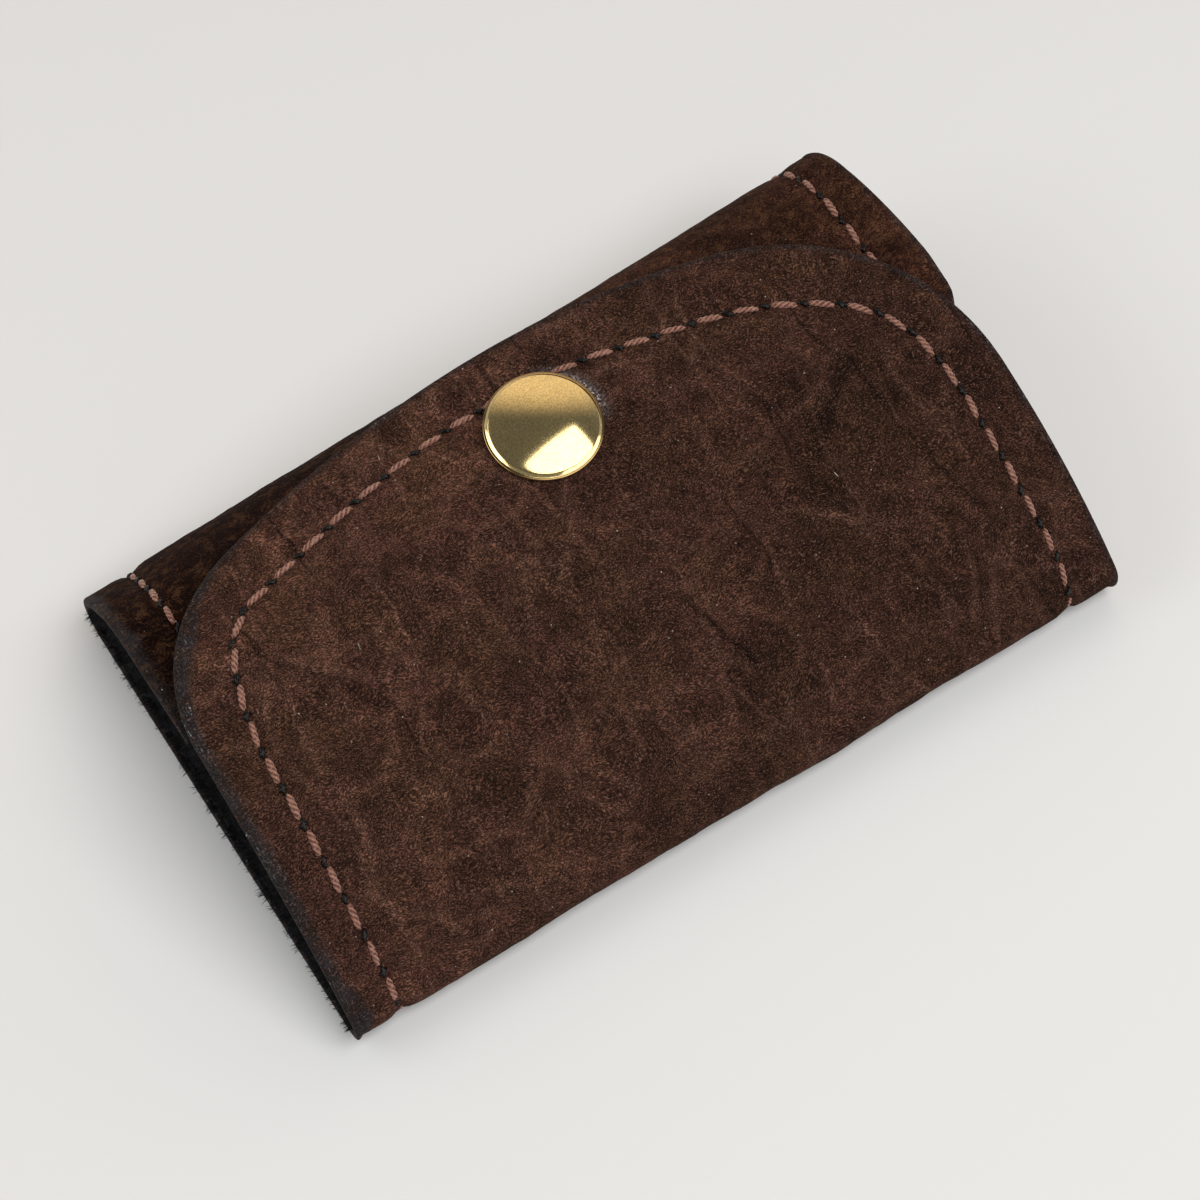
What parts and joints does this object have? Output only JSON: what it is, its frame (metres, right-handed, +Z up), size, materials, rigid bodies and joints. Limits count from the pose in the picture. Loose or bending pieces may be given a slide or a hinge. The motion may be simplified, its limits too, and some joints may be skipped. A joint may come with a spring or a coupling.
{
  "type": "key case",
  "caption": "Closed tri-fold leather key case with a domed snap, a soft lining and a riveted plate of hinged, sprung key hooks.",
  "frame": {"origin": "middle of the underside of the closed case", "axes": "+X along the folds towards the key plate's end, +Y towards the far fold, +Z up"},
  "size_m": [0.112, 0.072, 0.0255],
  "materials": {
    "nubuck": "brushed dark brown nubuck",
    "tan_thread": "twisted thread",
    "black_thread": "waxed thread",
    "lining": "black napped cloth",
    "polished_brass": "polished",
    "plain_brass": "tumbled",
    "nickel_steel": "nickel plated",
    "spring_steel": "drawn wire"
  },
  "bodies": {
    "case_back": {"back_leather": "nubuck", "back_lining": "lining", "near_fold_leather": "nubuck", "near_fold_lining": "lining", "far_fold_lower_leather": "nubuck", "far_fold_lower_lining": "lining", "key_plate": "nickel_steel", "plate_rod": "nickel_steel", "plate_rivets": "nickel_steel", "rivet_washers": "nickel_steel"},
    "outer_flap": {"outer_flap_leather": "nubuck", "outer_flap_lining": "lining", "snap_cap": "polished_brass", "snap_socket": "plain_brass", "snap_spring": "spring_steel"},
    "far_spine": {"far_spine_leather": "nubuck", "far_spine_lining": "lining", "far_fold_upper_leather": "nubuck", "far_fold_upper_lining": "lining"},
    "inner_flap": {"inner_flap_leather": "nubuck", "inner_flap_lining": "lining", "snap_stud": "plain_brass", "snap_post": "plain_brass"},
    "key_hook_1": {"hook_1": "nickel_steel"},
    "key_hook_2": {"hook_2": "nickel_steel"},
    "key_hook_3": {"hook_3": "nickel_steel"},
    "key_hook_4": {"hook_4": "nickel_steel"},
    "key_hook_5": {"hook_5": "nickel_steel"},
    "key_hook_6": {"hook_6": "nickel_steel"},
    "hook_gate_1": {"gate_1": "spring_steel"},
    "hook_gate_2": {"gate_2": "spring_steel"},
    "hook_gate_3": {"gate_3": "spring_steel"},
    "hook_gate_4": {"gate_4": "spring_steel"},
    "hook_gate_5": {"gate_5": "spring_steel"},
    "hook_gate_6": {"gate_6": "spring_steel"}
  },
  "joints": [
    {"name": "outer_flap_fold", "type": "hinge", "parent": "case_back", "child": "outer_flap", "pos_m": [0, -0.0358, 0.0022], "axis": [1, 0, 0], "range_deg": [0, 140], "deforming": ["near_fold_leather", "near_fold_lining"]},
    {"name": "far_fold_lower", "type": "hinge", "parent": "case_back", "child": "far_spine", "pos_m": [0, 0.0333, 0.0026], "axis": [-1, 0, 0], "range_deg": [0, 70], "deforming": ["far_fold_lower_leather", "far_fold_lower_lining"]},
    {"name": "far_fold_upper", "type": "hinge", "parent": "far_spine", "child": "inner_flap", "pos_m": [0, 0.0323, 0.0175], "axis": [-1, 0, 0], "range_deg": [0, 70], "deforming": ["far_fold_upper_leather", "far_fold_upper_lining"]},
    {"name": "hook_1_flip", "type": "hinge", "parent": "case_back", "child": "key_hook_1", "pos_m": [0.036, -0.023, 0.00425], "axis": [0, 1, 0], "range_deg": [0, 7]},
    {"name": "hook_2_flip", "type": "hinge", "parent": "case_back", "child": "key_hook_2", "pos_m": [0.036, -0.0146, 0.00425], "axis": [0, 1, 0], "range_deg": [0, 17]},
    {"name": "hook_3_flip", "type": "hinge", "parent": "case_back", "child": "key_hook_3", "pos_m": [0.036, -0.0062, 0.00425], "axis": [0, 1, 0], "range_deg": [0, 20]},
    {"name": "hook_4_flip", "type": "hinge", "parent": "case_back", "child": "key_hook_4", "pos_m": [0.036, 0.0022, 0.00425], "axis": [0, 1, 0], "range_deg": [0, 20]},
    {"name": "hook_5_flip", "type": "hinge", "parent": "case_back", "child": "key_hook_5", "pos_m": [0.036, 0.0106, 0.00425], "axis": [0, 1, 0], "range_deg": [0, 20]},
    {"name": "hook_6_flip", "type": "hinge", "parent": "case_back", "child": "key_hook_6", "pos_m": [0.036, 0.019, 0.00425], "axis": [0, 1, 0], "range_deg": [0, 20]},
    {"name": "gate_1_spring", "type": "hinge", "parent": "key_hook_1", "child": "hook_gate_1", "pos_m": [0.02925, -0.0203, 0.00425], "axis": [0, 0, 1], "range_deg": [0, 16], "stiffness_Nm_per_rad": 0.0001, "springref_deg": -5.73},
    {"name": "gate_2_spring", "type": "hinge", "parent": "key_hook_2", "child": "hook_gate_2", "pos_m": [0.02925, -0.0119, 0.00425], "axis": [0, 0, 1], "range_deg": [0, 16], "stiffness_Nm_per_rad": 0.0001, "springref_deg": -5.73},
    {"name": "gate_3_spring", "type": "hinge", "parent": "key_hook_3", "child": "hook_gate_3", "pos_m": [0.02925, -0.0035, 0.00425], "axis": [0, 0, 1], "range_deg": [0, 16], "stiffness_Nm_per_rad": 0.0001, "springref_deg": -5.73},
    {"name": "gate_4_spring", "type": "hinge", "parent": "key_hook_4", "child": "hook_gate_4", "pos_m": [0.02925, 0.0049, 0.00425], "axis": [0, 0, 1], "range_deg": [0, 16], "stiffness_Nm_per_rad": 0.0001, "springref_deg": -5.73},
    {"name": "gate_5_spring", "type": "hinge", "parent": "key_hook_5", "child": "hook_gate_5", "pos_m": [0.02925, 0.0133, 0.00425], "axis": [0, 0, 1], "range_deg": [0, 16], "stiffness_Nm_per_rad": 0.0001, "springref_deg": -5.73},
    {"name": "gate_6_spring", "type": "hinge", "parent": "key_hook_6", "child": "hook_gate_6", "pos_m": [0.02925, 0.0217, 0.00425], "axis": [0, 0, 1], "range_deg": [0, 16], "stiffness_Nm_per_rad": 0.0001, "springref_deg": -5.73}
  ],
  "couplings": [
    {"joint": "far_fold_lower", "follows": "outer_flap_fold", "ratio": 0.5},
    {"joint": "far_fold_upper", "follows": "outer_flap_fold", "ratio": 0.5}
  ]
}
